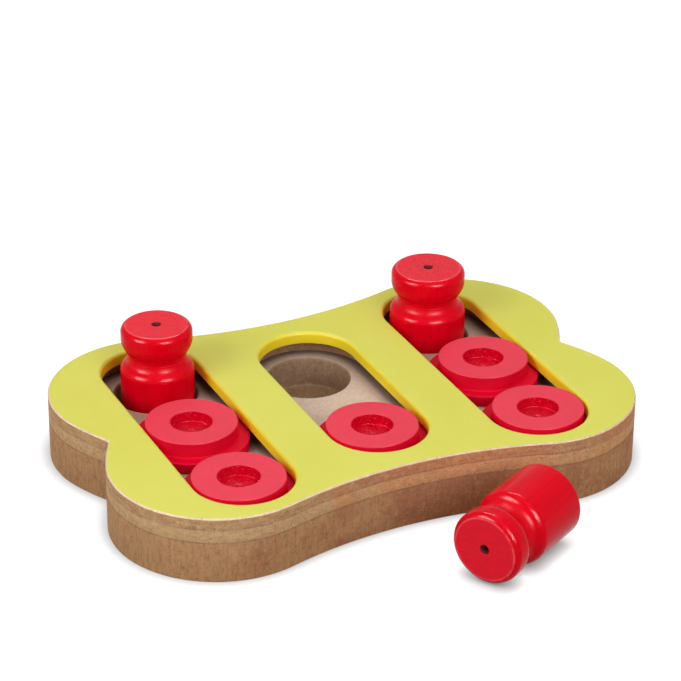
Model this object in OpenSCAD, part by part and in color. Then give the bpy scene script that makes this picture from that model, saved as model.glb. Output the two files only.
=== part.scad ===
// Bone-shaped wooden treat puzzle: three glued boards, five captive sliding discs
// and three turned pegs that stand in the treat wells.
// Millimetres, +Z up. The origin is the centre of the underside of the base board,
// +X runs along the board and -Y is its front, where the loose peg lies.

/* [Boards] */
// Thickness of the base board, which holds the treat wells
base_t = 23.5; // [22:0.5:26]
// Thickness of the spacer board, whose channels hold the disc flanges
spacer_t = 7.5; // [7:0.5:9]
// Thickness of the painted top board
top_t = 7; // [5:0.5:9]

/* [Outline] */
// Distance of a lobe's centre from the middle, along the board
lobe_x = 93.5; // [93:0.5:96]
// Distance of a lobe's centre from the middle, across the board
lobe_y = 44; // [43.5:0.5:46]
// Radius of the four lobes
lobe_r = 59.5; // [58:0.5:60]
// Half of the board's width at its waist
waist_y = 89; // [87:0.5:90]
// Radius of the flatter flank between a lobe and the notch at each end
flank_r = 140; // [120:5:160]
// How far the lobe's round carries on past its widest point before the flank, in degrees
flank_turn = 20; // [16:1:24]
// Radius in the bottom of the notch at each end
notch_r = 4.5; // [3:0.5:8]

/* [Lanes] */
// Distance between neighbouring lanes
lane_pitch = 88; // [88:0.5:89]
// Width of the slots in the top board
slot_w = 56; // [55:0.5:57]
// Width of the channels in the spacer board
channel_w = 69; // [68:0.5:70]
// Distance of the end wells from the middle of an outer lane
outer_reach = 64; // [64:0.5:64.5]
// Distance of the two wells from the middle of the centre lane
centre_reach = 44.5; // [44:0.5:46]
// How much shorter a channel's straight is than its slot's, at each end
channel_short = 1; // [0.5:0.5:1]
// Radius of the rounded slot lips
lip_r = 2; // [1:0.5:3]

/* [Treat wells] */
// Distance of the outer wells from the middle of the board, along it
well_pitch = 85.5; // [85:0.5:88]
// Diameter of a treat well
well_d = 47; // [46.5:0.5:48]
// Depth of a treat well below the channel floor
well_depth = 18; // [14:0.5:19]
// Radius between a well's wall and its floor
well_fillet = 1.5; // [0.5:0.5:1.5]
// Bevel round a well's mouth
well_bevel = 0.8; // [0.4:0.1:1]

/* [Discs] */
// Diameter of the raised part of a disc
puck_d = 50.6; // [49:0.2:50.8]
// Diameter of the flange that holds a disc in its lane
flange_d = 63.5; // [62:0.5:63.5]
// Thickness of the flange
flange_t = 6.2; // [5:0.1:6.4]
// How far a disc stands above the top board
disc_proud = 0.5; // [0:0.1:2]
// Radius where the raised part meets the flange
cove_r = 1; // [0.5:0.5:1.5]
// Diameter of the finger recess
finger_d = 23; // [20:0.5:26]
// Depth of the finger recess
finger_depth = 6.5; // [5:0.5:8]
// Diameter of the drill point in the middle of the recess
point_d = 5; // [3:0.5:6]

/* [Pegs] */
// Diameter of the left peg's barrel
peg_d = 41.6; // [40:0.2:42]
// How much stouter the right peg is turned than the left one
right_girth = 1.06; // [1:0.01:1.06]
// How much stouter the loose peg is turned than the left one
loose_girth = 1.02; // [1:0.01:1.06]
// Height of a peg
peg_h = 62; // [60:0.5:66]
// Diameter of a peg's knob
knob_d = 40.2; // [39:0.2:41.4]
// Diameter of the flat top of the knob
crown_d = 33.8; // [33:0.2:35]
// Diameter of the crease under the knob
crease_d = 35; // [34.6:0.2:35.4]
// Distance from a peg's top to that crease
crease_at = 14.8; // [14.4:0.1:15.2]
// Diameter of a peg's waist
waist_d = 32.2; // [31.8:0.2:32.6]
// Distance from a peg's top to its waist
waist_at = 18.9; // [18.7:0.1:19.3]
// Diameter of the small hole in the middle of the knob
pin_d = 5; // [4:0.5:6]
// Depth of that hole
pin_depth = 12; // [8:1:20]

/* [Places at rest] */
// Front discs, from the middle of an outer lane
front_disc_y = -63.5; // [-63.6:0.1:-63.4]
// Middle discs, from the middle of an outer lane
middle_disc_y = 0.8; // [0.8:0.1:2]
// Disc in the centre lane, from the lane's middle
centre_disc_y = -43; // [-43.5:0.5:-40]
// Sideways play taken up by the discs of the left lane
left_lean = -2; // [-2:0.1:2]
// Sideways play taken up by the disc of the centre lane
centre_lean = -2.2; // [-2.2:0.1:2.2]
// Sideways play taken up by the discs of the right lane
right_lean = 0.9; // [-2:0.1:2]
// Place of the left peg in its well
left_peg_play = [0.7, -1.5]; // [-1.6:0.1:1.6]
// Place of the right peg in its well
right_peg_play = [-0.1, -0.2]; // [-0.6:0.1:0.6]
// Where the middle of the loose peg's crown lies, in front of the board
loose_peg_at = [6.3, -157.9]; // [-180:0.1:180]
// Direction in which the loose peg points from crown to foot, in degrees
loose_peg_turn = 30; // [20:1:40]

/* [Hidden] */
$fn = 96;

board_h = base_t + spacer_t + top_t;
disc_h = spacer_t + top_t + disc_proud;
well_floor = base_t - well_depth;
cut = 1;                // overshoot of every cutter past the face it opens

// Lanes as [x, reach of the end wells, x of the wells, y of each well]
lanes = [[-lane_pitch, outer_reach, -well_pitch, [-outer_reach, 0, outer_reach]],
         [0, centre_reach, 0, [-centre_reach, centre_reach]],
         [lane_pitch, outer_reach, well_pitch, [-outer_reach, 0, outer_reach]]];

// Centres of the arcs of one quarter of the outline
lobe_c = [lobe_x, lobe_y];
hollow_rise = waist_y - lobe_y;
hollow_r = (hollow_rise * hollow_rise + lobe_x * lobe_x - lobe_r * lobe_r)
           / (2 * (lobe_r - hollow_rise));
hollow_c = [0, waist_y + hollow_r];
flank_c = lobe_c - (flank_r - lobe_r) * [cos(flank_turn), -sin(flank_turn)];
notch_c = [flank_c.x + sqrt(pow(flank_r + notch_r, 2) - pow(flank_c.y, 2)), 0];
notch_turn = atan2(flank_c.y, notch_c.x - flank_c.x);
lobe_end = atan2(hollow_c.y - lobe_c.y, -lobe_x);

knob_at = 7.9;          // distance from a peg's top to the widest place of its knob
crown_run = 3.8;        // height of the round from the crown to the knob's side
crease_w = 0.2;         // width of the cut line in the crease
neck_r = 5.5;           // radius of the hollow round the waist
shoulder_run = 8.8;     // height from the waist down to the full barrel
foot_r = 1.6;           // rounding of the barrel's lower edge
foot_sweep = 75;        // degrees of that rounding, which leaves a small flat shoulder
disc_edge = 0.5;        // small round on every turned edge of a disc
point_h = point_d / 4;  // depth of the drill point's cone

paint_yellow = [0.86, 0.86, 0.38];
bare_board = [0.72, 0.53, 0.38];
base_brown = [0.60, 0.41, 0.29];
lacquer_red = [0.85, 0.05, 0.12];

// Points on an arc about c, from angle a to angle b, with about step degrees between them
function arc(c, r, a, b, step) =
    let (n = ceil(abs(b - a) / step))
    [for (i = [0:n]) c + r * [cos(a + (b - a) * i / n), sin(a + (b - a) * i / n)]];

// Everything but the last point, so that joined arcs share each point once
function open_end(p) = [for (i = [0:len(p) - 2]) p[i]];

function flip(p) = [for (i = [len(p) - 1:-1:0]) p[i]];

// One quarter of the outline, from the notch on +X round to the waist on +Y
quarter = concat(
    open_end(arc(notch_c, notch_r, 180, 180 - notch_turn, 8)),
    open_end(arc(flank_c, flank_r, -notch_turn, -flank_turn, 2)),
    open_end(arc(lobe_c, lobe_r, -flank_turn, lobe_end, 3)),
    arc(hollow_c, hollow_r, lobe_end - 180, -90, 1));
half = concat(quarter, [for (p = flip(open_end(quarter))) [-p.x, p.y]]);
outline = concat(half, [for (i = [len(half) - 2:-1:1]) [half[i].x, -half[i].y]]);

module board(z, t) {
    translate([0, 0, z]) linear_extrude(t) polygon(outline);
}

// A round-ended groove: its half section, swept along the lane and turned round both ends
module groove(reach) {
    for (side = [-1, 1]) translate([0, side * reach, 0]) rotate_extrude() children();
    rotate([90, 0, 0]) linear_extrude(2 * reach, center = true) {
        children();
        mirror([1, 0]) children();
    }
}

// Half section of a slot, widening at the top with the round of its lip
module slot_section() {
    half_w = slot_w / 2;
    polygon(concat(
        [[0, -cut], [half_w, -cut]],
        arc([half_w + lip_r, top_t - lip_r], lip_r, 180, 90, 10),
        [[half_w + lip_r, top_t + cut], [0, top_t + cut]]));
}

// A treat well: bevelled mouth, straight wall and rounded corner, cut down from z = 0
module well() {
    r = well_d / 2;
    rotate_extrude() polygon(concat(
        [[0, cut], [r + well_bevel + cut, cut], [r, -well_bevel]],
        arc([r - well_fillet, well_fillet - well_depth], well_fillet, 0, -90, 10),
        [[0, -well_depth]]));
}

module base_board() {
    color(base_brown) difference() {
        board(0, base_t);
        for (lane = lanes, y = lane[3]) translate([lane[2], y, base_t]) well();
    }
}

module spacer_board() {
    color(bare_board) difference() {
        board(base_t, spacer_t);
        for (lane = lanes) translate([lane[0], 0, base_t]) groove(lane[1] - channel_short)
            translate([0, -cut]) square([channel_w / 2, spacer_t + 2 * cut]);
    }
}

module top_board() {
    color(paint_yellow) difference() {
        board(base_t + spacer_t, top_t);
        for (lane = lanes) translate([lane[0], 0, base_t + spacer_t]) groove(lane[1]) slot_section();
    }
}

// Half section of a disc, standing on z = 0
module disc_section() {
    puck_r = puck_d / 2;
    flange_r = flange_d / 2;
    edge = disc_edge;
    floor_z = disc_h - finger_depth;
    polygon(concat(
        [[0, 0], [flange_r - edge, 0], [flange_r, edge]],
        arc([flange_r - edge, flange_t - edge], edge, 0, 90, 15),
        arc([puck_r + cove_r, flange_t + cove_r], cove_r, 270, 180, 15),
        arc([puck_r - edge, disc_h - edge], edge, 0, 90, 15),
        arc([finger_d / 2 + edge, disc_h - edge], edge, 90, 180, 15),
        [[finger_d / 2, floor_z], [point_d / 2, floor_z], [0, floor_z - point_h]]));
}

module disc(x, y) {
    color(lacquer_red) translate([x, y, base_t]) rotate_extrude() disc_section();
}

module left_front_disc() disc(-lane_pitch + left_lean, front_disc_y);
module left_middle_disc() disc(-lane_pitch + left_lean, middle_disc_y);
module centre_disc() disc(centre_lean, centre_disc_y);
module right_front_disc() disc(lane_pitch + right_lean, front_disc_y);
module right_middle_disc() disc(lane_pitch + right_lean, middle_disc_y);

// Radius of the arc that steps in by step over a height of run, from upright
function step_r(step, run) = (step * step + run * run) / (2 * step);

// Half section of a peg, standing on z = 0 with its crown up: barrel, hollow shoulder and waist,
// then the crease, the knob and the crown
module peg_section(girth) {
    barrel_r = girth * peg_d / 2;
    knob_rad = girth * knob_d / 2;
    waist_r = girth * waist_d / 2;
    crease_r = girth * crease_d / 2;
    crown_rad = girth * crown_d / 2;
    waist_z = peg_h - waist_at;
    knob_z = peg_h - knob_at;
    crease_z = peg_h - crease_at;
    // the hollow and the shoulder below it turn by the same angle, and touch
    turn = 2 * atan((barrel_r - waist_r) / shoulder_run);
    shoulder_r = shoulder_run / sin(turn) - neck_r;
    rise = asin((crease_z - crease_w - waist_z) / neck_r);
    under_r = step_r(knob_rad - crease_r, knob_z - crease_z);
    over_r = step_r(knob_rad - crown_rad, crown_run);
    polygon(concat(
        [[0, 0], [barrel_r - foot_r, 0]],
        arc([barrel_r - foot_r, foot_r], foot_r, -foot_sweep, 0, 15),
        open_end(arc([barrel_r - shoulder_r, waist_z - shoulder_run], shoulder_r, 0, turn, 10)),
        arc([waist_r + neck_r, waist_z], neck_r, 180 + turn, 180 - rise, 12),
        arc([knob_rad - under_r, knob_z], under_r, -asin((knob_z - crease_z) / under_r), 0, 8),
        arc([knob_rad - over_r, peg_h - crown_run], over_r, 0, asin(crown_run / over_r), 12),
        [[pin_d / 2, peg_h], [pin_d / 2, peg_h - pin_depth], [0, peg_h - pin_depth]]));
}

module peg(girth) {
    color(lacquer_red) rotate_extrude() peg_section(girth);
}

module left_peg() {
    translate([-well_pitch + left_peg_play.x, outer_reach + left_peg_play.y, well_floor]) peg(1);
}

module right_peg() {
    translate([well_pitch + right_peg_play.x, outer_reach + right_peg_play.y, well_floor]) peg(right_girth);
}

// Lies on its barrel, so its axis is half a barrel's diameter above the ground
module loose_peg() {
    translate([loose_peg_at.x, loose_peg_at.y, loose_girth * peg_d / 2]) rotate([0, 0, loose_peg_turn])
        rotate([0, -90, 0]) translate([0, 0, -peg_h]) peg(loose_girth);
}

base_board();
spacer_board();
top_board();
left_front_disc();
left_middle_disc();
centre_disc();
right_front_disc();
right_middle_disc();
left_peg();
right_peg();
loose_peg();
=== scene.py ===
import bmesh
import bpy
import numpy as np
from mathutils import Matrix, Vector
from mathutils.geometry import delaunay_2d_cdt


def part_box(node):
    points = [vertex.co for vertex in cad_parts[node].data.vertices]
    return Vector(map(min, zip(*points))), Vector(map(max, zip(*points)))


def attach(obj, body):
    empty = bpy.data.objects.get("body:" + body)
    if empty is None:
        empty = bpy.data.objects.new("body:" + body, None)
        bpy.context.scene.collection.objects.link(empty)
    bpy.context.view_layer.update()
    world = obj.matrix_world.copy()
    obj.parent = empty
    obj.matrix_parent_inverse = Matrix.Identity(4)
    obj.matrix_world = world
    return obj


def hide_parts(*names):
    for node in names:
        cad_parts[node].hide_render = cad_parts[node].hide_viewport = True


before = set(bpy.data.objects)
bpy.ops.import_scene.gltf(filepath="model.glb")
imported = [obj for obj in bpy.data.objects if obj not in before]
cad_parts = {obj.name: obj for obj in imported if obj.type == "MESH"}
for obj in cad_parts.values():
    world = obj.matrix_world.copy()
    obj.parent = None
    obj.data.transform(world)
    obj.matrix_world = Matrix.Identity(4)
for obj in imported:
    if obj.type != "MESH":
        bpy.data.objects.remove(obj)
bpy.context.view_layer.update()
mm = 0.001
print("frame loaded:", len(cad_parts), "nodes")


# helpers for meshes

def turnedRay(degrees):
    # unit vectors at these angles: (cos t, sin t)
    t = np.radians(degrees)
    return np.stack([np.cos(t), np.sin(t)], -1)


def arcPoints(centre, radius, start, end, count):
    # points at equal angles on a circle about centre, from start to end degrees
    return np.asarray(centre) + radius * turnedRay(np.linspace(start, end, count))


def gridFaces(rows, columns):
    # quads between neighbouring rows of a grid whose columns run round a closed loop
    r, c = np.meshgrid(np.arange(rows - 1), np.arange(columns), indexing="ij")
    n = (c + 1) % columns
    quads = [r * columns + c, r * columns + n, (r + 1) * columns + n, (r + 1) * columns + c]
    return np.stack(quads, -1).reshape(-1, 4)


weldReach = {"doubles": 1e-6, "slivers": 1e-7}  # metres


def makePiece(name, verts, faces, faceMaterials, materials, local=None):
    # One welded, closed mesh from whole arrays, smooth shaded, with its faces turned outwards.
    # local: where each point was before the piece was moved to its place, kept for its patterns
    mesh = bpy.data.meshes.new(name)
    mesh.from_pydata(verts.tolist(), [], faces)
    mesh.polygons.foreach_set("material_index", np.asarray(faceMaterials, np.int32))
    if local is not None:
        turned = mesh.attributes.new("turned", "FLOAT_VECTOR", "POINT")
        turned.data.foreach_set("vector", local.astype(np.float32).ravel())
    work = bmesh.new()
    work.from_mesh(mesh)
    bmesh.ops.remove_doubles(work, verts=work.verts, dist=weldReach["doubles"])
    bmesh.ops.dissolve_degenerate(work, edges=work.edges, dist=weldReach["slivers"])
    bmesh.ops.recalc_face_normals(work, faces=work.faces)
    openEdges = sum(1 for e in work.edges if len(e.link_faces) != 2)
    work.to_mesh(mesh)
    work.free()
    for material in materials:
        mesh.materials.append(material)
    mesh.shade_smooth()
    piece = bpy.data.objects.new(name, mesh)
    bpy.context.scene.collection.objects.link(piece)
    print(name, len(mesh.polygons), "faces,", openEdges, "open edges")
    return piece


# helpers for materials

def srgb(r, g, b):
    # display colour, 0 to 255, as the linear colour that the shader takes
    c = np.array([r, g, b]) / 255
    return (*np.where(c <= 0.04045, c / 12.92, ((c + 0.055) / 1.055) ** 2.4), 1.0)


class NodeBench:
    # short ways to add and join the nodes of a material or a world

    def __init__(self, owner):
        owner.use_nodes = True
        self.nodes = owner.node_tree.nodes
        self.links = owner.node_tree.links

    def add(self, kind, settings=None, **values):
        node = self.nodes.new(kind)
        for key, value in (settings or {}).items():
            setattr(node, key, value)
        for key, value in values.items():
            self.feed(node.inputs[key.replace("_", " ")], value)
        return node

    def feed(self, socket, value):
        if isinstance(value, bpy.types.NodeSocket):
            self.links.new(value, socket)
        else:
            socket.default_value = value

    def place(self, stretch=(1, 1, 1), attribute=None):
        # object coordinates in metres, or the piece's own attribute, stretched per axis
        if attribute:
            source = self.add("ShaderNodeAttribute", {"attribute_name": attribute}).outputs["Vector"]
        else:
            source = self.add("ShaderNodeTexCoord").outputs["Object"]
        return self.add("ShaderNodeMapping", Vector=source, Scale=stretch).outputs["Vector"]

    def length(self, vector):
        return self.add("ShaderNodeVectorMath", {"operation": "LENGTH"}, Vector=vector).outputs["Value"]

    def noise(self, where, scale, detail=3.0, roughness=0.55):
        # a cloudy pattern about 0.5, with this many lumps to the metre
        return self.add("ShaderNodeTexNoise", Vector=where, Scale=scale, Detail=detail,
                        Roughness=roughness).outputs["Fac"]

    def curve(self, value, low=0.3, high=0.7, outLow=0.0, outHigh=1.0):
        # Value from low..high to outLow..outHigh, smoothly and clamped. Most of a noise lies
        # between the low and high that are given here.
        return self.add("ShaderNodeMapRange", {"interpolation_type": "SMOOTHSTEP"}, Value=value,
                        From_Min=low, From_Max=high, To_Min=outLow, To_Max=outHigh).outputs["Result"]

    def math(self, operation, a, b=0.0):
        node = self.nodes.new("ShaderNodeMath")
        node.operation = operation
        self.feed(node.inputs[0], a)
        self.feed(node.inputs[1], b)
        return node.outputs[0]

    def mix(self, factor, a, b):
        # Colour a where factor is 0, colour b where it is 1. The node's colours are its sockets
        # 6 and 7, and its outlet 2.
        node = self.nodes.new("ShaderNodeMix")
        node.data_type = "RGBA"
        self.feed(node.inputs["Factor"], factor)
        self.feed(node.inputs[6], a)
        self.feed(node.inputs[7], b)
        return node.outputs[2]

    def bump(self, height, distance, strength=1.0, before=None):
        node = self.nodes.new("ShaderNodeBump")
        node.inputs["Distance"].default_value = distance
        node.inputs["Strength"].default_value = strength
        self.feed(node.inputs["Height"], height)
        if before:
            self.feed(node.inputs["Normal"], before)
        return node.outputs["Normal"]


class Finish(NodeBench):
    # a material with a Principled shader, whose constant values are set on the shader itself

    def __init__(self, name, look):
        self.material = bpy.data.materials.new(name)
        super().__init__(self.material)
        self.shader = self.nodes["Principled BSDF"]
        self.roughness = look["roughness"]
        self.shader.inputs["Roughness"].default_value = self.roughness
        self.shader.inputs["Specular IOR Level"].default_value = look["specular"]
        self.shader.inputs["Sheen Weight"].default_value = look.get("sheen", 0.0)

    def colour(self, value):
        self.feed(self.shader.inputs["Base Color"], value)

    def waver(self, pattern, spread, low=0.3, high=0.7):
        # a roughness that follows a pattern, by spread to either side of the finish's own
        return self.curve(pattern, low, high, self.roughness - spread, self.roughness + spread)

    def rough(self, value):
        self.feed(self.shader.inputs["Roughness"], value)

    def normal(self, value):
        self.feed(self.shader.inputs["Normal"], value)


# finishes, each with its look beside it

# base and deep are paler in blue than the paint itself, a painted reflection of the white surroundings on the
# top face; lip is painted light on the lips and slot walls
paintLook = {
    "base": srgb(220, 218, 92), "deep": srgb(216, 213, 83), "lip": srgb(248, 222, 42),
    "roughness": 0.41, "roughSpread": 0.05, "specular": 0.1,
    "cloud": 18, "dull": 90, "peel": 650, "dust": 1800, "dustRare": (0.72, 0.82),
    "peelHeight": 0.03 * mm, "dustHeight": 0.04 * mm, "dustStrength": 0.5,
    "flat": 38 * mm, "lipDrop": 1.5 * mm}


def yellowPaint():
    # sprayed paint: slow clouds of colour, with orange peel and a little dust in the film. The top's
    # tones are paler in blue as a painted reflection, and the rounded lips and slot walls take a
    # brighter, yellower tone as painted light
    look = paintLook
    f = Finish("yellowPaint", look)
    where = f.place()
    tone = f.mix(f.curve(f.noise(where, look["cloud"], detail=4)), look["base"], look["deep"])
    height = f.add("ShaderNodeSeparateXYZ", Vector=where).outputs["Z"]
    # painted light: below the flat top, on the lips and slot walls, the colour turns to the brighter lip tone
    lip = f.curve(height, look["flat"], look["flat"] - look["lipDrop"])
    f.colour(f.mix(lip, tone, look["lip"]))
    f.rough(f.waver(f.noise(where, look["dull"]), look["roughSpread"]))
    peel = f.bump(f.noise(where, look["peel"], detail=2), look["peelHeight"])
    dust = f.curve(f.noise(where, look["dust"], detail=1), *look["dustRare"])
    f.normal(f.bump(dust, look["dustHeight"], look["dustStrength"], peel))
    return f.material


fibre = {  # what the faces of the boards share: noise scales, limits of each pattern, sizes
    "drift": 26, "driftLimits": (0.3, 0.7, -85 * mm, 25 * mm), "warmReach": (130 * mm, 40 * mm),
    "streak": 640, "streakLimits": (0.38, 0.68), "streakHeight": 0.04 * mm, "streakStrength": 0.6,
    "mottle": 330, "mottleDark": (0.5, 0.7), "mottlePale": (0.5, 0.3),
    "fleck": 1300, "fleckDark": (0.54, 0.7), "fleckPale": (0.44, 0.3), "fleckHeight": 0.07 * mm,
    "fleckStrength": 0.7, "chip": 760, "chipRare": (0.66, 0.71), "patch": 40,
    "patchLimits": (0.4, 0.6, 0.2, 1), "gap": 130, "gapLimits": (0.3, 0.6, 0.4, 1),
    "glueReach": (0.8 * mm, 0.1 * mm), "shadeReach": (5 * mm, 62 * mm),
    "cornerShadeLimits": (0.62, 0.15, 0, 0.85), "roughSpread": 0.08}


def fibreboard(name, look):
    # pressed fibre: tan towards the ends of the board and redder in its middle, with cutter
    # streaks, mottling, pale and dark flecks, chips and a dark glue line at the joints. On some faces
    # it also carries painted shade: darker towards the far side, and darker in corners and gaps
    f = Finish(name, look)
    where = f.place()
    split = f.add("ShaderNodeSeparateXYZ", Vector=where).outputs
    drift = f.noise(where, fibre["drift"], detail=4, roughness=0.65)
    away = f.math("ABSOLUTE", f.math("ADD", split["X"], f.curve(drift, *fibre["driftLimits"])))
    tone = f.mix(f.curve(away, *fibre["warmReach"]), look["light"], look["warm"])
    cutter = f.noise(f.place(look["stretch"]), fibre["streak"], detail=4, roughness=0.65)
    streak = f.curve(cutter, *fibre["streakLimits"])
    tone = f.mix(f.math("MULTIPLY", streak, look["streak"]), tone, look["dark"])
    mottle = f.noise(where, fibre["mottle"], detail=5, roughness=0.75)
    fleck = f.noise(where, fibre["fleck"], roughness=0.7)
    for pattern, limits, share, colour in (
            (mottle, "mottleDark", "mottle", "dark"), (mottle, "mottlePale", "mottle", "pale"),
            (fleck, "fleckDark", "fleck", "speck"), (fleck, "fleckPale", "fleck", "pale")):
        tone = f.mix(f.curve(pattern, *fibre[limits], 0, look[share]), tone, look[colour])
    chips = f.math("MULTIPLY", f.curve(f.noise(where, fibre["chip"], detail=1), *fibre["chipRare"]),
                   f.curve(f.noise(where, fibre["patch"], detail=2), *fibre["patchLimits"]))
    tone = f.mix(f.math("MULTIPLY", chips, look["chips"]), tone, look["speck"])
    broken = f.curve(f.noise(where, fibre["gap"]), *fibre["gapLimits"])
    for height, depth in look["joints"]:
        near = f.math("ABSOLUTE", f.math("SUBTRACT", split["Z"], height * mm))
        line = f.math("MULTIPLY", f.curve(near, *fibre["glueReach"], 0, depth), broken)
        tone = f.mix(line, tone, look["speck"])
    # painted shade: darker towards the far side, +Y, and in corners and narrow gaps by ambient occlusion
    if "farShade" in look:
        far = f.curve(split["Y"], *fibre["shadeReach"], 0, look["shadeDepth"])
        tone = f.mix(far, tone, look["farShade"])
        openness = f.add("ShaderNodeAmbientOcclusion", Distance=look["cornerShadeReach"]).outputs["AO"]
        tone = f.mix(f.curve(openness, *fibre["cornerShadeLimits"]), tone, look["cornerShade"])
    f.colour(tone)
    f.rough(f.waver(fleck, fibre["roughSpread"]))
    grooves = f.bump(streak, fibre["streakHeight"], fibre["streakStrength"])
    f.normal(f.bump(fleck, fibre["fleckHeight"], fibre["fleckStrength"], grooves))
    return f.material


edgeLook = {
    "light": srgb(200, 160, 108), "warm": srgb(208, 144, 88), "dark": srgb(162, 110, 68),
    "pale": srgb(218, 181, 133), "speck": srgb(98, 60, 38), "roughness": 0.75, "specular": 0.2,
    "stretch": (0.3, 0.3, 1), "streak": 0.3, "mottle": 0.5, "fleck": 0.45, "chips": 0.6,
    "joints": [(23.5, 0.45), (31, 0.25)]}
topEdgeLook = dict(
    edgeLook, light=srgb(198, 153, 101), warm=srgb(201, 130, 80), dark=srgb(150, 96, 62),
    stretch=(0.16, 0.16, 1), streak=0.55, joints=[(31, 0.35)])
baseEdgeLook = dict(
    edgeLook, light=srgb(184, 135, 83), warm=srgb(162, 99, 55), dark=srgb(120, 72, 40),
    pale=srgb(191, 141, 91), stretch=(1, 1, 0.16), streak=0.4, fleck=0.4, joints=[(23.5, 0.45)])
creamLook = dict(
    edgeLook, light=srgb(232, 210, 174), warm=srgb(226, 196, 160), dark=srgb(192, 158, 122),
    pale=srgb(240, 222, 190), speck=srgb(150, 118, 88), fleck=0.35, joints=[])
faceLook = {
    "light": srgb(218, 190, 168), "warm": srgb(214, 186, 164), "dark": srgb(180, 148, 124),
    "pale": srgb(232, 212, 194), "speck": srgb(140, 104, 82), "roughness": 0.55, "specular": 0.2,
    "stretch": (1, 0.3, 1), "streak": 0.25, "mottle": 0.3, "fleck": 0.3, "chips": 0.3, "joints": [],
    # the last colours are painted shade, one for the far side and one for corners and gaps
    "farShade": srgb(112, 88, 68), "shadeDepth": 0.5, "cornerShade": srgb(58, 34, 22), "cornerShadeReach": 14 * mm}
# the well and channel walls are cut fibre like the edges, coloured darker as painted shade inside the wells
# and channels
wellLook = dict(
    edgeLook, light=srgb(142, 110, 78), warm=srgb(136, 102, 70), dark=srgb(98, 70, 46),
    pale=srgb(160, 128, 94), stretch=(1, 1, 1), joints=[])
channelLook = dict(wellLook, light=srgb(156, 112, 74), warm=srgb(150, 104, 66))


# side and top are copies of one red: the side's darker tones are painted shade on the upright faces, the
# top's paler, bluer tones a painted reflection on the flat ones
discLook = {
    "side": {"tones": (srgb(225, 0, 46), srgb(216, 0, 40)), "roughness": 0.53, "specular": 0.03},
    "top": {"tones": (srgb(230, 0, 54), srgb(223, 0, 48)), "roughness": 0.53, "specular": 0.14,
            "sheen": 0.09},
    "hollow": {"tones": (srgb(222, 0, 40), srgb(208, 0, 34)), "roughness": 0.25, "specular": 0.06},
    "roughSpread": 0.05, "cloud": 60, "grain": 1100, "grainHeight": 0.03 * mm,
    "bead": 900, "beadHighlightLimits": (0.6, 0.68, 0, 0.4), "beadShadowLimits": (0.5, 0.36, 0, 0.32),
    "beadHighlight": srgb(240, 110, 125), "beadShadow": srgb(130, 0, 22), "beadHeight": 0.3 * mm,
    "beadEdge": (0.4, 0.6),
    "pore": 1000, "poreRare": (0.7, 0.75, 0, 0.4), "poreColour": srgb(160, 0, 24), "dull": 300}


def redDisc(name, part):
    # stained and varnished: an even red with fine pores, and a blotchy, beaded film in the drilled
    # recess, which is glossier where it beads and carries painted highlights and painted shadows on its beads
    look = discLook
    f = Finish(name, look[part])
    local = f.place(attribute="turned")
    tone = f.mix(f.curve(f.noise(local, look["cloud"], detail=4)), *look[part]["tones"])
    fine = f.bump(f.noise(local, look["grain"]), look["grainHeight"])
    if part == "hollow":
        bead = f.noise(local, look["bead"], detail=2, roughness=0.6)
        # painted highlights on the beads, and painted shadows beside them
        tone = f.mix(f.curve(bead, *look["beadHighlightLimits"]), tone, look["beadHighlight"])
        tone = f.mix(f.curve(bead, *look["beadShadowLimits"]), tone, look["beadShadow"])
        f.rough(f.waver(bead, -look["roughSpread"], *look["beadEdge"]))
        fine = f.bump(bead, look["beadHeight"], before=fine)
    else:
        pore = f.curve(f.noise(local, look["pore"], detail=1), *look["poreRare"])
        tone = f.mix(pore, tone, look["poreColour"])
        f.rough(f.waver(f.noise(local, look["dull"]), look["roughSpread"]))
    f.colour(tone)
    f.normal(fine)
    return f.material


lacquerLook = {
    "base": srgb(225, 0, 28), "deep": srgb(216, 0, 25), "roughness": 0.2, "roughSpread": 0.04,
    "specular": 0.05, "grain": 420, "grainStretch": (1, 1, 0.08), "grainLimits": (0.35, 0.65),
    "grainHeight": 0.003 * mm, "dull": 160, "neckRough": 0.12,
    "neckLow": (38.5 * mm, 40.5 * mm), "neckHigh": (47 * mm, 45.8 * mm),
    "rim": srgb(252, 104, 112), "rimHighlightReach": (61.6 * mm, 61.85 * mm), "rimHighlightShare": 0.5,
    "rimHighlightBreak": 220, "rimHighlightBreakLimits": (0.35, 0.5, 0.4, 1)}


def redLacquer():
    # gloss over turned wood, with faint long grain under the film, duller in the hollow of the neck,
    # and a painted highlight, pale pink and broken, along the sharp rim of the crown
    look = lacquerLook
    f = Finish("redLacquer", look)
    grain = f.noise(f.place(look["grainStretch"], "turned"), look["grain"], detail=4, roughness=0.6)
    local = f.place(attribute="turned")
    height = f.add("ShaderNodeSeparateXYZ", Vector=local).outputs["Z"]
    tone = f.mix(f.curve(grain, *look["grainLimits"]), look["base"], look["deep"])
    # painted highlight along the crown's rim
    rimHighlight = f.math("MULTIPLY", f.curve(height, *look["rimHighlightReach"], 0, look["rimHighlightShare"]),
                    f.curve(f.noise(local, look["rimHighlightBreak"], detail=2), *look["rimHighlightBreakLimits"]))
    f.colour(f.mix(rimHighlight, tone, look["rim"]))
    neck = f.math("MULTIPLY", f.curve(height, *look["neckLow"]), f.curve(height, *look["neckHigh"]))
    film = f.waver(f.noise(local, look["dull"]), look["roughSpread"])
    f.rough(f.math("ADD", film, f.math("MULTIPLY", neck, look["neckRough"])))
    f.normal(f.bump(grain, look["grainHeight"]))
    return f.material


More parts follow.
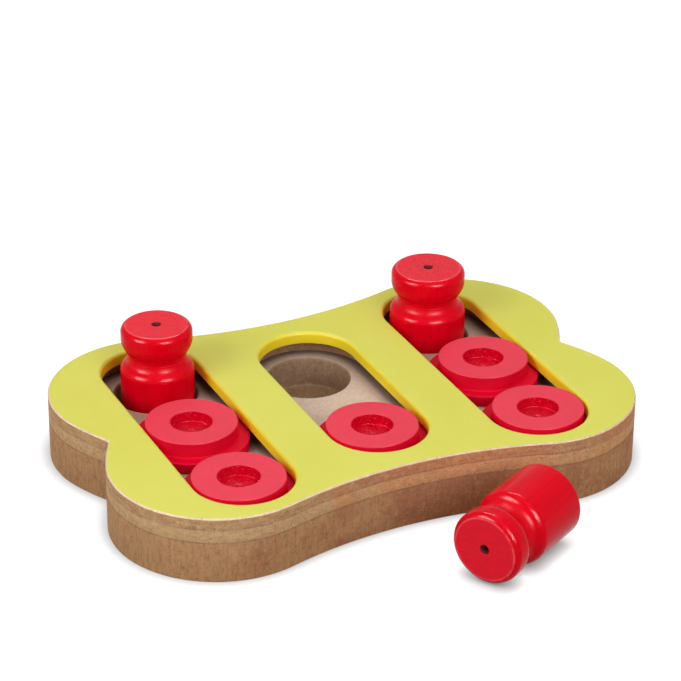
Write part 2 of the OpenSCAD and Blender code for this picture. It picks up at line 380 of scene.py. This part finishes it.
crownLook = {
    "base": srgb(236, 0, 38), "deep": srgb(226, 0, 33), "poreColour": srgb(96, 0, 14),
    "roughness": 0.5, "roughSpread": 0.05, "specular": 0.09, "sheen": 0.04,
    "line": 1100, "lineStretch": (1, 0.12, 1), "lineLimits": (0.4, 0.62),
    "pore": 900, "poreRare": (0.66, 0.7), "middle": (13 * mm, 3 * mm), "middleLift": 0.09,
    "dull": 400, "grain": 1300, "grainHeight": 0.05 * mm}


def redCrown(name, poreShare):
    # the film sinks into the end grain of the crown: fine lines and, round the middle, open pores
    look = crownLook
    f = Finish(name, look)
    local = f.place(attribute="turned")
    lines = f.noise(f.place(look["lineStretch"], "turned"), look["line"], detail=2)
    tone = f.mix(f.curve(lines, *look["lineLimits"]), look["base"], look["deep"])
    fromAxis = f.length(f.place((1, 1, 0), "turned"))
    middle = f.math("MULTIPLY", f.curve(fromAxis, *look["middle"]), look["middleLift"])
    pores = f.curve(f.math("ADD", f.noise(local, look["pore"], detail=1), middle), *look["poreRare"])
    f.colour(f.mix(f.math("MULTIPLY", pores, poreShare), tone, look["poreColour"]))
    f.rough(f.waver(f.noise(local, look["dull"]), look["roughSpread"]))
    f.normal(f.bump(f.noise(local, look["grain"]), look["grainHeight"]))
    return f.material


boreLook = {
    "base": srgb(130, 0, 18), "deep": srgb(92, 0, 12), "roughness": 0.7, "roughSpread": 0.1,
    "specular": 0.1, "blot": 900, "blotLimits": (0.35, 0.65), "dull": 500, "grain": 1500,
    "grainHeight": 0.06 * mm}


def shadedRedBore():
    # the lathe centre's hole, coloured dark red as painted shade inside the narrow hole
    look = boreLook
    f = Finish("shadedRedBore", look)
    local = f.place(attribute="turned")
    blots = f.curve(f.noise(local, look["blot"]), *look["blotLimits"])
    # painted shade: the hole's dark reds stand for the shade inside it
    f.colour(f.mix(blots, look["base"], look["deep"]))
    f.rough(f.waver(f.noise(local, look["dull"], detail=2), look["roughSpread"]))
    f.normal(f.bump(f.noise(local, look["grain"]), look["grainHeight"]))
    return f.material


finish = {
    "paint": yellowPaint(),
    "topEdge": fibreboard("topEdge", topEdgeLook),
    "spacerEdge": fibreboard("spacerEdge", edgeLook),
    "baseEdge": fibreboard("baseEdge", baseEdgeLook),
    "cream": fibreboard("creamEdge", creamLook),
    "face": fibreboard("boardFace", faceLook),
    "well": fibreboard("wellWall", wellLook),
    "channel": fibreboard("channelWall", channelLook),
    "disc": redDisc("redDisc", "side"),
    "discTop": redDisc("redDiscTop", "top"),
    "recess": redDisc("redRecess", "hollow"),
    "lacquer": redLacquer(),
    "crown": redCrown("redCrown", poreShare=0.12),
    "openCrown": redCrown("redOpenCrown", poreShare=0.6),
    "bore": shadedRedBore(),
}
print("finishes made:", len(finish))


# the three boards

boardShape = {  # millimetres
    "lobeX": 93.5, "lobeY": 44, "lobeRadius": 59.5, "waistY": 89, "flankRadius": 140,
    "flankTurn": 20, "notchRadius": 4.5, "lanePitch": 88, "slotWidth": 56, "channelWidth": 69,
    "outerReach": 64, "centreReach": 44.5, "channelShort": 1, "lipRadius": 2,
    "wellPitch": 85.5, "wellDiameter": 47, "wellDepth": 18, "wellFillet": 1.5, "wellBevel": 0.8,
    "wellRow": 0.5,  # a row of points in the wall, this far above the fillet
    "strip": 1.2,  # flat strip that each wall keeps along its edges
    "footArris": 0.5, "glueArris": 0.18, "channelArris": 0.1, "slotArris": 0.2,
    "bareBevel": 0.75, "bevelRound": 0.2, "bareStrip": 0.7,  # round the painted face
    "mouthEase": (0.12, 0.08, 0.15)}  # of a well: on the face, on the bevel and down the wall


def boneLoop():
    # One quarter of the outline from the notch on +X to the waist on +Y, as four arcs that touch,
    # then its mirror images. Each point keeps the normal that points out of the board. An arc is
    # given by its centre, radius, start, end, number of points, and 1 where it bulges or -1.
    s = boardShape
    rise = s["waistY"] - s["lobeY"]
    # the waist's hollow touches both lobes from outside, and the notch both flanks
    hollowRadius = (rise ** 2 + s["lobeX"] ** 2 - s["lobeRadius"] ** 2) / (2 * (s["lobeRadius"] - rise))
    hollow = np.array([0, s["waistY"] + hollowRadius])
    lobe = np.array([s["lobeX"], s["lobeY"]])
    flank = lobe - (s["flankRadius"] - s["lobeRadius"]) * turnedRay(-s["flankTurn"])
    notchX = flank[0] + np.sqrt((s["flankRadius"] + s["notchRadius"]) ** 2 - flank[1] ** 2)
    notchTurn = np.degrees(np.arctan2(flank[1], notchX - flank[0]))
    lobeEnd = np.degrees(np.arctan2(hollow[1] - lobe[1], -lobe[0]))
    arcs = [((notchX, 0), s["notchRadius"], 180, 180 - notchTurn, 14, -1),
            (flank, s["flankRadius"], -notchTurn, -s["flankTurn"], 14, 1),
            (lobe, s["lobeRadius"], -s["flankTurn"], lobeEnd, 72, 1),
            (hollow, hollowRadius, lobeEnd - 180, -90, 30, -1)]
    points = [arcPoints(centre, r, a, b, count)[:-1] for centre, r, a, b, count, _ in arcs]
    normals = [side * turnedRay(np.linspace(a, b, count))[:-1] for _, _, a, b, count, side in arcs]
    points = np.concatenate(points + [[[0, s["waistY"]]]])
    normals = np.concatenate(normals + [[[0, 1]]])
    for flip in ((-1, 1), (1, -1)):
        points = np.concatenate([points, points[-2::-1] * flip])
        normals = np.concatenate([normals, normals[-2::-1] * flip])
    return points[:-1] * mm, normals[:-1]


def laneLoop(x, reach, width, arcCount=49, straightCount=7):
    # A round-ended lane along Y: half circles about both ends, joined by straights. Each point is
    # half a width from the middle line, along its normal.
    turn = np.linspace(0, 180, arcCount)
    down = np.linspace(reach, -reach, straightCount + 2)[1:-1]
    middle = np.concatenate([np.full(arcCount, reach), down, np.full(arcCount, -reach), -down])
    left = np.tile([-1, 0], (straightCount, 1))
    normals = np.concatenate([turnedRay(turn), left, turnedRay(turn + 180), -left])
    centres = np.stack([np.full_like(middle, x), middle], 1)
    return (centres + width / 2 * normals) * mm, normals


def roundLoop(x, y, radius, count=96):
    # a circle about (x, y)
    normals = turnedRay(np.arange(count) * 360 / count)
    return (radius * normals + [x, y]) * mm, normals


def skin(loop, profile):
    # a profile carried round a loop: each profile point moves the loop out along its normals and up
    points, normals = loop
    out, up = np.asarray(profile).T * mm
    flat = points[None] + out[:, None, None] * normals[None]
    return np.concatenate([flat, np.broadcast_to(up[:, None, None], (*flat.shape[:2], 1))], 2)


def plateFaces(rings):
    # The flat face between closed rings: a constrained triangulation of all of them, keeping the
    # triangles whose middle an odd number of rings goes round. A middle is inside a ring when a
    # ray from it along +X crosses the ring an odd number of times.
    points = np.concatenate([r[:, :2] for r in rings])
    starts = np.cumsum([0] + [len(r) for r in rings])
    steps = [np.arange(len(r)) for r in rings]
    edges = np.concatenate([np.stack([i, np.roll(i, -1)], 1) + start for i, start in zip(steps, starts)])
    corners = [Vector(p) for p in points.tolist()]
    found, _, faces, *_ = delaunay_2d_cdt(corners, edges.tolist(), [], 0, 1e-9)
    found, faces = np.array([tuple(p) for p in found]), np.array(faces)
    middle = found[faces].mean(1)
    a, b = points[edges[:, 0]], points[edges[:, 1]]
    level = middle[:, 1:]
    spans = (a[:, 1] > level) != (b[:, 1] > level)
    rise = np.where(b[:, 1] == a[:, 1], 1, b[:, 1] - a[:, 1])
    crossing = a[:, 0] + (level - a[:, 1]) * (b[:, 0] - a[:, 0]) / rise
    inside = (spans & (crossing > middle[:, :1])).sum(1) % 2 == 1
    return found, faces[inside]


def makeBoard(name, skins, plates, materials):
    # skins: (loop, profile, material of each profile step)
    # plates: ([(which skin, which row of it), ...], material)
    verts, faces, tones, count = [], [], [], 0
    grids = [skin(loop, profile) for loop, profile, _ in skins]
    for grid, (_, _, steps) in zip(grids, skins):
        quads = gridFaces(*grid.shape[:2])
        verts.append(grid.reshape(-1, 3))
        faces += (quads + count).tolist()
        tones.append(np.repeat(steps, grid.shape[1]))
        count += grid.shape[0] * grid.shape[1]
    for rings, tone in plates:
        rings = [grids[i][row] for i, row in rings]
        found, triangles = plateFaces(rings)
        verts.append(np.hstack([found, np.full((len(found), 1), rings[0][0, 2])]))
        faces += (triangles + count).tolist()
        tones.append(np.full(len(triangles), tone))
        count += len(found)
    return makePiece(name, np.concatenate(verts), faces, np.concatenate(tones), materials)


def roundedCorner(centre, radius, start, end, count=5):
    # profile points on the arc that rounds a corner, about the centre of that arc
    return [tuple(p) for p in arcPoints(centre, radius, start, end, count)]


def outerProfile(low, high, lowRound, highRound):
    # an upright wall with rounded arrises, and a flat strip in from each
    strip = boardShape["strip"]
    return [(-strip, low), *roundedCorner((-lowRound, low + lowRound), lowRound, -90, 0),
            *roundedCorner((-highRound, high - highRound), highRound, 0, 90), (-strip, high)]


bone = boneLoop()
lanePitch, wellPitch = boardShape["lanePitch"], boardShape["wellPitch"]
outerReach, centreReach = boardShape["outerReach"], boardShape["centreReach"]
lanes = [(-lanePitch, outerReach), (0, centreReach), (lanePitch, outerReach)]
wells = [(side * wellPitch, row * outerReach) for side in (-1, 1) for row in (-1, 0, 1)]
wells += [(0, -centreReach), (0, centreReach)]
undersides = [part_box(node)[0].z / mm for node in ("base_board", "spacer_board", "top_board")]
levels = [*undersides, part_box("top_board")[1].z / mm]


def makeBase():
    # materials: 0 cut edge, 1 pressed face, 2 well
    s = boardShape
    low, high = levels[0], levels[1]
    outer = outerProfile(low, high, s["footArris"], s["glueArris"])
    skins = [(bone, outer, [1] + [0] * (len(outer) - 3) + [1])]
    fillet, bevel, radius = s["wellFillet"], s["wellBevel"], s["wellDiameter"] / 2
    onFace, onBevel, onWall = s["mouthEase"]
    floor = high - s["wellDepth"]
    mouth = [(bevel + s["strip"] / 2, high), (bevel + onFace, high), (bevel, high - onBevel),
             (onBevel, high - bevel), (0, high - bevel - onWall)]
    wall = [*mouth, (0, floor + fillet + s["wellRow"]),
            *roundedCorner((-fillet, floor + fillet), fillet, 0, -90, 7),
            (-radius / 2, floor), (-radius, floor)]
    tones = [1] * 2 + [2] * (len(wall) - 3)
    skins += [(roundLoop(x, y, radius), wall, tones) for x, y in wells]
    plates = [([(0, 0)], 1), ([(0, -1)] + [(i + 1, 0) for i in range(len(wells))], 1)]
    board = makeBoard("baseBoard", skins, plates, [finish["baseEdge"], finish["face"], finish["well"]])
    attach(board, "board")
    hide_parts("base_board")


def makeSpacer():
    # materials: 0 cut edge, 1 pressed face, 2 channel wall
    s = boardShape
    low, high = levels[1], levels[2]
    outer = outerProfile(low, high, s["glueArris"], s["glueArris"])
    ease, strip = s["channelArris"], s["strip"]
    channel = [(strip, low), *roundedCorner((ease, low + ease), ease, 270, 180, 3),
               *roundedCorner((ease, high - ease), ease, 180, 90, 3), (strip, high)]
    skins = [(bone, outer, [0] * (len(outer) - 1))]
    for x, reach in lanes:
        loop = laneLoop(x, reach - s["channelShort"], s["channelWidth"])
        skins.append((loop, channel, [2] * (len(channel) - 1)))
    plates = [([(i, row) for i in range(4)], 1) for row in (0, -1)]
    board = makeBoard("spacerBoard", skins, plates, [finish["spacerEdge"], finish["face"], finish["channel"]])
    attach(board, "board")
    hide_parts("spacer_board")


def makeTop():
    # materials: 0 paint, 1 cut edge, 2 bare bevel, 3 pressed face
    s = boardShape
    low, high = levels[2], levels[3]
    arris, bevel, ease, strip = s["glueArris"], s["bareBevel"], s["bevelRound"], s["strip"]
    outer = [(-strip, low), *roundedCorner((-arris, low + arris), arris, -90, 0),
             *roundedCorner((-ease, high - bevel - ease / 2), ease, 0, 40, 4),
             *roundedCorner((-bevel - ease / 4, high - ease), ease, 50, 90, 4),
             (-bevel - s["bareStrip"], high), (-2 * strip, high)]
    tones = [1] * 9 + [2] * 4 + [0] * 2
    lip, edge = s["lipRadius"], s["slotArris"]
    slot = [(strip, low), *roundedCorner((edge, low + edge), edge, 270, 180, 4),
            *roundedCorner((lip, high - lip), lip, 180, 90, 13), (lip + strip / 2, high)]
    skins = [(bone, outer, tones)]
    for x, reach in lanes:
        skins.append((laneLoop(x, reach, s["slotWidth"]), slot, [3] + [0] * (len(slot) - 2)))
    plates = [([(i, 0) for i in range(4)], 3), ([(i, -1) for i in range(4)], 0)]
    materials = [finish["paint"], finish["topEdge"], finish["cream"], finish["face"]]
    board = makeBoard("topBoard", skins, plates, materials)
    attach(board, "board")
    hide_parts("top_board")


makeBase()
makeSpacer()
makeTop()
print("boards made")


# discs and pegs, turned about an axis

def revolve(name, profile, tones, count, materials, place):
    # A profile of radius and height turned about Z, then moved by place: each point goes to
    # (radius cos t, radius sin t, height). tones: the material of each profile step
    radius, height = np.asarray(profile).T * mm
    ray = turnedRay(np.arange(count) * 360 / count)
    local = np.empty((len(radius), count, 3))
    local[..., :2] = radius[:, None, None] * ray[None]
    local[..., 2] = height[:, None]
    local = local.reshape(-1, 3)
    turn, shift = np.array(place)[:3, :3], np.array(place)[:3, 3]
    faces = gridFaces(len(radius), count).tolist()
    return makePiece(name, local @ turn.T + shift, faces, np.repeat(tones, count), materials, local)


discShape = {  # millimetres
    "puck": 50.6, "flange": 63.5, "flangeHeight": 6.2, "height": 15, "cove": 1, "edge": 0.5,
    "finger": 23, "fingerDepth": 6.5, "fingerFillet": 0.4, "fingerRow": 0.5, "ring": 1.5, "ringRise": 0.1,
    "point": 3, "pointDepth": 1.25, "pointStrip": 0.2, "strip": 0.8, "coveStrip": 0.6, "facets": 160}
discNodes = {
    "leftFrontDisc": "left_front_disc", "leftMiddleDisc": "left_middle_disc",
    "centreDisc": "centre_disc",
    "rightFrontDisc": "right_front_disc", "rightMiddleDisc": "right_middle_disc"}


def discProfile():
    # Flange, cove, raised part with eased edges, and a drilled recess with a ring from the cutter's
    # rim and the mark of its point. Flat faces keep a narrow strip beside their eased edges.
    d = discShape
    puck, flange, edge, cove, strip = d["puck"] / 2, d["flange"] / 2, d["edge"], d["cove"], d["strip"]
    high, ledgeZ = d["height"], d["flangeHeight"]
    finger, fillet, floor = d["finger"] / 2, d["fingerFillet"], high - d["fingerDepth"]
    ring, rise, point, depth = d["ring"], d["ringRise"], d["point"] / 2, d["pointDepth"]
    side = [(0, 0), (flange / 2, 0), (flange - edge - strip, 0),
            *roundedCorner((flange - edge, edge), edge, -90, 0)]
    ledge = [*roundedCorner((flange - edge, ledgeZ - edge), edge, 0, 90),
             (flange - edge - strip, ledgeZ), (puck + cove + d["coveStrip"], ledgeZ)]
    wall = [*roundedCorner((puck + cove, ledgeZ + cove), cove, 270, 180, 7), (puck, high - edge)]
    top = [*roundedCorner((puck - edge, high - edge), edge, 0, 90, 7)[1:],
           (puck - edge - strip, high), (finger + edge + strip, high),
           *roundedCorner((finger + edge, high - edge), edge, 90, 180, 7)]
    recess = [(finger, floor + d["fingerRow"]),
              *roundedCorner((finger - fillet, floor + fillet), fillet, 0, -90),
              (finger - 0.8 * ring, floor - 0.2 * rise), (finger - ring, floor + rise),
              (point + 0.8 * ring, floor + rise), (point + d["pointStrip"], floor + rise / 2),
              (point, floor - rise), (point / 3, floor - 0.8 * depth), (0, floor - depth)]
    parts = [(side + ledge + wall, 0), (top, 1), (recess, 2)]
    tones = np.concatenate([np.full(len(points), tone) for points, tone in parts])[1:]
    return np.concatenate([points for points, _ in parts]), tones


def standingPlace(node):
    # to the middle of a node's box, on its lower side
    low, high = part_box(node)
    return Matrix.Translation(((low.x + high.x) / 2, (low.y + high.y) / 2, low.z))


def makeDiscs():
    profile, tones = discProfile()
    materials = [finish["disc"], finish["discTop"], finish["recess"]]
    for name, node in discNodes.items():
        disc = revolve(name, profile, tones, discShape["facets"], materials, standingPlace(node))
        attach(disc, node)
        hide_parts(node)


pegShape = {  # millimetres
    "barrel": 41.6, "height": 62, "knob": 40.2, "knobAt": 7.9, "crown": 33.8, "crownRun": 3.8,
    "crease": 35, "creaseAt": 14.8, "creaseWidth": 0.2, "waist": 32.2, "waistAt": 18.9, "neck": 5.5,
    "shoulderRun": 8.8, "foot": 1.6, "footTurn": 75, "footStrip": 0.8, "rim": 0.6, "rimGap": 0.05,
    "ridge": 0.16, "ridgePitch": 1.5, "ridgeReach": 5.6, "ridgeFade": 1.5, "barrelRows": (12, 24),
    "pin": 5, "pinDepth": 12, "pinPoint": 0.8, "pinStrip": 1,
    "pinMouth": ((0.3, 0), (0.05, 0.1), (0, 0.35)),  # out from the hole's wall, down from the crown
    "facets": 192}


def stepArc(step, run):
    # radius of the arc that steps in by step over a height of run, and the angle it turns
    radius = (step ** 2 + run ** 2) / (2 * step)
    return radius, np.degrees(np.arcsin(run / radius))


def pegProfile(girth):
    # Barrel, shoulder and hollow waist with the fine ridges that the gouge leaves, crease, knob and
    # crown. Each curve is an arc that touches the next, and a ridge is a cosine along the height.
    p = pegShape
    barrel, knob, waist = (girth * p[k] / 2 for k in ("barrel", "knob", "waist"))
    crown, crease = (girth * p[k] / 2 for k in ("crown", "crease"))
    top = p["height"]
    waistZ, knobZ, creaseZ = top - p["waistAt"], top - p["knobAt"], top - p["creaseAt"]
    turn = 2 * np.degrees(np.arctan((barrel - waist) / p["shoulderRun"]))
    shoulderRadius = p["shoulderRun"] / np.sin(np.radians(turn)) - p["neck"]
    rise = np.degrees(np.arcsin((creaseZ - p["creaseWidth"] - waistZ) / p["neck"]))
    underRadius, underTurn = stepArc(knob - crease, knobZ - creaseZ)
    overRadius, overTurn = stepArc(knob - crown, p["crownRun"])
    foot = roundedCorner((barrel - p["foot"], p["foot"]), p["foot"], -p["footTurn"], 0, 10)
    shoulderCentre = (barrel - shoulderRadius, waistZ - p["shoulderRun"])
    shoulder = arcPoints(shoulderCentre, shoulderRadius, 0, turn, 24)
    hollow = arcPoints((waist + p["neck"], waistZ), p["neck"], 180 + turn, 180 - rise, 90)[1:]
    down = creaseZ - hollow[:, 1]
    fade = np.clip((p["ridgeReach"] - down) / p["ridgeFade"], 0, 1)
    hollow[:, 0] += p["ridge"] * fade * (np.cos(2 * np.pi * down / p["ridgePitch"]) - 1) / 2
    under = arcPoints((knob - underRadius, knobZ), underRadius, -underTurn, 0, 30)
    over = arcPoints((knob - overRadius, top - p["crownRun"]), overRadius, 0, overTurn, 30)
    pin, rim = p["pin"] / 2, p["rim"]
    half = np.tan(np.radians(90 - overTurn) / 2) * rim
    over = over[over[:, 1] < top - half * np.cos(np.radians(overTurn)) - p["rimGap"]]
    edge = arcPoints((crown - half, top - rim), rim, overTurn, 90, 6)
    flatFoot = barrel - p["foot"]
    side = [(0, 0), (barrel / 2, 0), (flatFoot - p["footStrip"], 0), (flatFoot, 0), *foot,
            *[(barrel, z) for z in p["barrelRows"]], *shoulder, *hollow, *under, *over, *edge]
    mouth = [(pin + out, top - sunk) for out, sunk in p["pinMouth"]]
    flat = [(crown - half - rim, top), (pin + p["pinStrip"], top), mouth[0]]
    bore = [*mouth[1:], (pin, top - p["pinDepth"]), (0, top - p["pinDepth"] - p["pinPoint"])]
    parts = [(side, 0), (flat, 1), (bore, 2)]
    tones = np.concatenate([np.full(len(points), tone) for points, tone in parts])[1:]
    return np.concatenate([points for points, _ in parts]), tones


standingPegs = {  # degrees that each is turned about its axis, how stout it is, its crown's finish
    "left_peg": {"name": "leftPeg", "turn": 40, "girth": 1, "crown": "crown"},
    "right_peg": {"name": "rightPeg", "turn": 160, "girth": 1.06, "crown": "openCrown"}}
loosePeg = {  # millimetres, and degrees from crown to foot, seen from above
    "crownAt": (6.3, -157.9), "turn": 30, "girth": 1.02}


def placePeg(name, node, place, girth, crown):
    profile, tones = pegProfile(girth)
    materials = [finish["lacquer"], finish[crown], finish["bore"]]
    peg = revolve(name, profile, tones, pegShape["facets"], materials, place)
    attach(peg, node)
    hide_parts(node)


def makePegs():
    for node, peg in standingPegs.items():
        place = standingPlace(node) @ Matrix.Rotation(np.radians(peg["turn"]), 4, "Z")
        placePeg(peg["name"], node, place, peg["girth"], peg["crown"])
    # the loose one is tipped on its side with the middle of its crown where crownAt says
    turn = Matrix.Rotation(np.radians(loosePeg["turn"]), 4, "Z")
    tip = Matrix.Rotation(np.radians(-90), 4, "Y")
    x, y = loosePeg["crownAt"]
    axisHeight = loosePeg["girth"] * pegShape["barrel"] / 2
    crownPlace = Matrix.Translation((x * mm, y * mm, axisHeight * mm))
    place = crownPlace @ turn @ tip @ Matrix.Translation((0, 0, -pegShape["height"] * mm))
    placePeg("loosePeg", "loose_peg", place, loosePeg["girth"], "crown")


makeDiscs()
makePegs()
print("turned pieces made")


# stage, light and camera

worldLight = 0.36  # strength of the light that the white surroundings give


def makeWorld():
    # what the camera, mirrors and glass see is white at strength 1, and the light it gives is less
    world = bpy.data.worlds.new("studio")
    bpy.context.scene.world = world
    w = NodeBench(world)
    path = w.add("ShaderNodeLightPath").outputs
    mirrored = w.math("MAXIMUM", path["Is Glossy Ray"], path["Is Transmission Ray"])
    seen = w.math("MAXIMUM", path["Is Camera Ray"], mirrored)
    level = w.add("ShaderNodeMapRange", Value=seen, To_Min=worldLight, To_Max=1.0).outputs["Result"]
    background = w.nodes["Background"]
    background.inputs["Color"].default_value = (1, 1, 1, 1)
    w.feed(background.inputs["Strength"], level)


floorLook = {
    "size": 6.0, "roughness": 0.9, "specular": 0.0, "albedo": 0.3, "contact": 8 * mm,
    "reach": (0.22, 0.4), "glow": (0.84, 1.0)}  # the glow near the toy and away from it


def makeFloor():
    # A pale plane: part of its white is a glow, which keeps the shadow soft and light. The glow is
    # less where something stands close above the floor, which paints a contact shadow there.
    half = floorLook["size"] / 2
    corners = [(-half, -half, 0), (half, -half, 0), (half, half, 0), (-half, half, 0)]
    mesh = bpy.data.meshes.new("floor")
    mesh.from_pydata(corners, [], [(0, 1, 2, 3)])
    floor = bpy.data.objects.new("floor", mesh)
    bpy.context.scene.collection.objects.link(floor)
    f = Finish("floorWhite", floorLook)
    f.colour((floorLook["albedo"],) * 3 + (1,))
    path = f.add("ShaderNodeLightPath").outputs
    seen = f.math("MAXIMUM", path["Is Camera Ray"], path["Is Glossy Ray"])
    level = f.curve(f.length(f.place()), *floorLook["reach"], *floorLook["glow"])
    # painted contact shadow: the glow drops where the floor is occluded close by
    contact = f.add("ShaderNodeAmbientOcclusion", Distance=floorLook["contact"]).outputs["AO"]
    glow = f.math("MULTIPLY", seen, f.math("MULTIPLY", level, contact))
    f.shader.inputs["Emission Color"].default_value = (1, 1, 1, 1)
    f.feed(f.shader.inputs["Emission Strength"], glow)
    mesh.materials.append(f.material)


# azimuth and elevation as seen from the object, distance and size in metres, watts
lamps = {
    "keyLeft": {"azimuth": -80, "elevation": 34, "distance": 1.8, "size": (1.0, 0.8), "power": 13},
    "fillRight": {"azimuth": 8, "elevation": 30, "distance": 1.8, "size": (1.0, 0.8), "power": 10.5},
    "overhead": {"azimuth": 20, "elevation": 78, "distance": 1.7, "size": (1.6, 1.6), "power": 9}}
panels = {  # these only show in polished surfaces
    "panelLeft": {"azimuth": -84, "elevation": 31, "distance": 1.6, "size": (0.76, 0.7), "power": 96},
    "backStrip": {"azimuth": 155, "elevation": 60, "distance": 1.6, "size": (1.0, 0.12), "power": 30},
    "panelRight": {"azimuth": 5, "elevation": 31, "distance": 1.6, "size": (0.76, 0.7), "power": 96}}


def outward(azimuth, elevation):
    # unit vector at an angle round from -Y, towards +X, and up from the floor, in degrees
    a, e = np.radians(azimuth), np.radians(elevation)
    return Vector((np.sin(a) * np.cos(e), -np.cos(a) * np.cos(e), np.sin(e)))


def makeLamps():
    for name, settings in {**lamps, **panels}.items():
        toward = outward(settings["azimuth"], settings["elevation"])
        light = bpy.data.lights.new(name, "AREA")
        light.shape = "RECTANGLE"
        light.size, light.size_y = settings["size"]
        light.energy = settings["power"]
        lamp = bpy.data.objects.new(name, light)
        lamp.location = toward * settings["distance"]
        lamp.rotation_mode = "QUATERNION"
        lamp.rotation_quaternion = (-toward).to_track_quat("-Z", "Y")
        lamp.visible_diffuse = name in lamps
        bpy.context.scene.collection.objects.link(lamp)


photoView = {  # degrees and metres, and the lens, sensor and clipping of the camera
    "azimuth": -25.583, "elevation": 27.694, "roll": 0.4635, "distance": 1.62818,
    "target": (0.024306, 0.05307, 0.038), "lens": 150.3, "sensor": 36, "clip": (0.05, 20)}


def makeCamera():
    # on a ray from its target, rolled about that ray
    v = photoView
    a, r = np.radians(v["azimuth"]), np.radians(v["roll"])
    back = outward(v["azimuth"], v["elevation"])
    right = Vector((np.cos(a), np.sin(a), 0))
    up = back.cross(right)
    axes = Matrix((right * np.cos(r) + up * np.sin(r), up * np.cos(r) - right * np.sin(r), back))
    camera = bpy.data.cameras.new("camera")
    camera.lens = v["lens"]
    camera.sensor_width = v["sensor"]
    camera.clip_start, camera.clip_end = v["clip"]
    holder = bpy.data.objects.new("camera", camera)
    standpoint = Vector(v["target"]) + back * v["distance"]
    holder.matrix_world = Matrix.Translation(standpoint) @ axes.transposed().to_4x4()
    bpy.context.scene.collection.objects.link(holder)
    bpy.context.scene.camera = holder


bpy.context.scene.view_settings.view_transform = "Standard"
makeWorld()
makeFloor()
makeLamps()
makeCamera()
print("stage set")
